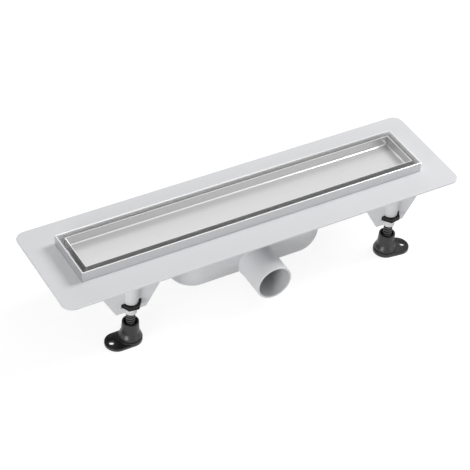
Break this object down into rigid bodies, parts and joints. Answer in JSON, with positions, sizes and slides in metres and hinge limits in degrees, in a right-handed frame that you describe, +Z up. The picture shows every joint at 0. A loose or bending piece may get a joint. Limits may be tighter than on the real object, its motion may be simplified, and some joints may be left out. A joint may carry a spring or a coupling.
{
  "type": "linear shower drain",
  "caption": "Long channel drain for a tiled shower floor, with a bonding flange, a tile tray in a steel frame, a trap, a side outlet and levelling feet.",
  "frame": {"origin": "on the floor that the feet stand on, under the middle of the whole drain, spigot included", "axes": "+X along the channel, -Y towards the outlet, +Z up"},
  "size_m": [0.58, 0.1656, 0.1165],
  "materials": {
    "light_grey_plastic": "smooth matte light grey moulding",
    "brushed_steel": "finely brushed stainless sheet, grain along the length",
    "black_plastic": "satin black moulding",
    "white_plastic": "plain white moulding",
    "seal_rubber": "matte black rubber",
    "screw_steel": "plain bright steel"
  },
  "bodies": {
    "drain": {"channel_body": "light_grey_plastic", "trap_housing": "light_grey_plastic", "outlet_spigot": "light_grey_plastic", "trim_frame": "brushed_steel", "cover_tray": "brushed_steel", "housing_gasket": "seal_rubber", "trap_seal": "seal_rubber", "housing_screws": "screw_steel", "dip_tube": "white_plastic", "trap_cup": "white_plastic", "hair_strainer": "white_plastic", "tray_stud_1": "black_plastic", "tray_stud_2": "black_plastic", "tray_stud_3": "black_plastic", "tray_stud_4": "black_plastic", "foot_bracket_front_left": "light_grey_plastic", "foot_bracket_front_right": "light_grey_plastic", "foot_bracket_back_left": "light_grey_plastic", "foot_bracket_back_right": "light_grey_plastic"},
    "foot_front_left": {"foot_base_front_left": "black_plastic", "threaded_rod_front_left": "black_plastic"},
    "nut_front_left": {"adjusting_nut_front_left": "black_plastic"},
    "foot_front_right": {"foot_base_front_right": "black_plastic", "threaded_rod_front_right": "black_plastic"},
    "nut_front_right": {"adjusting_nut_front_right": "black_plastic"},
    "foot_back_left": {"foot_base_back_left": "black_plastic", "threaded_rod_back_left": "black_plastic"},
    "nut_back_left": {"adjusting_nut_back_left": "black_plastic"},
    "foot_back_right": {"foot_base_back_right": "black_plastic", "threaded_rod_back_right": "black_plastic"},
    "nut_back_right": {"adjusting_nut_back_right": "black_plastic"}
  },
  "joints": [
    {"name": "foot_travel_front_left", "type": "slide", "parent": "drain", "child": "foot_front_left", "axis": [0, 0, 1], "range_m": [-0.016, 0.012]},
    {"name": "nut_turn_front_left", "type": "hinge", "parent": "drain", "child": "nut_front_left", "pos_m": [-0.193, -0.05475, 0.06205], "axis": [0, 0, 1], "range_deg": [-1080, 1440]},
    {"name": "foot_travel_front_right", "type": "slide", "parent": "drain", "child": "foot_front_right", "axis": [0, 0, 1], "range_m": [-0.016, 0.012]},
    {"name": "nut_turn_front_right", "type": "hinge", "parent": "drain", "child": "nut_front_right", "pos_m": [0.193, -0.05475, 0.06205], "axis": [0, 0, 1], "range_deg": [-1080, 1440]},
    {"name": "foot_travel_back_left", "type": "slide", "parent": "drain", "child": "foot_back_left", "axis": [0, 0, 1], "range_m": [-0.016, 0.012]},
    {"name": "nut_turn_back_left", "type": "hinge", "parent": "drain", "child": "nut_back_left", "pos_m": [-0.193, 0.06525, 0.06205], "axis": [0, 0, 1], "range_deg": [-1080, 1440]},
    {"name": "foot_travel_back_right", "type": "slide", "parent": "drain", "child": "foot_back_right", "axis": [0, 0, 1], "range_m": [-0.016, 0.012]},
    {"name": "nut_turn_back_right", "type": "hinge", "parent": "drain", "child": "nut_back_right", "pos_m": [0.193, 0.06525, 0.06205], "axis": [0, 0, 1], "range_deg": [-1080, 1440]}
  ],
  "couplings": [
    {"joint": "foot_travel_front_left", "follows": "nut_turn_front_left", "m_per_rad": -0.00063662},
    {"joint": "foot_travel_front_right", "follows": "nut_turn_front_right", "m_per_rad": -0.00063662},
    {"joint": "foot_travel_back_left", "follows": "nut_turn_back_left", "m_per_rad": -0.00063662},
    {"joint": "foot_travel_back_right", "follows": "nut_turn_back_right", "m_per_rad": -0.00063662}
  ]
}
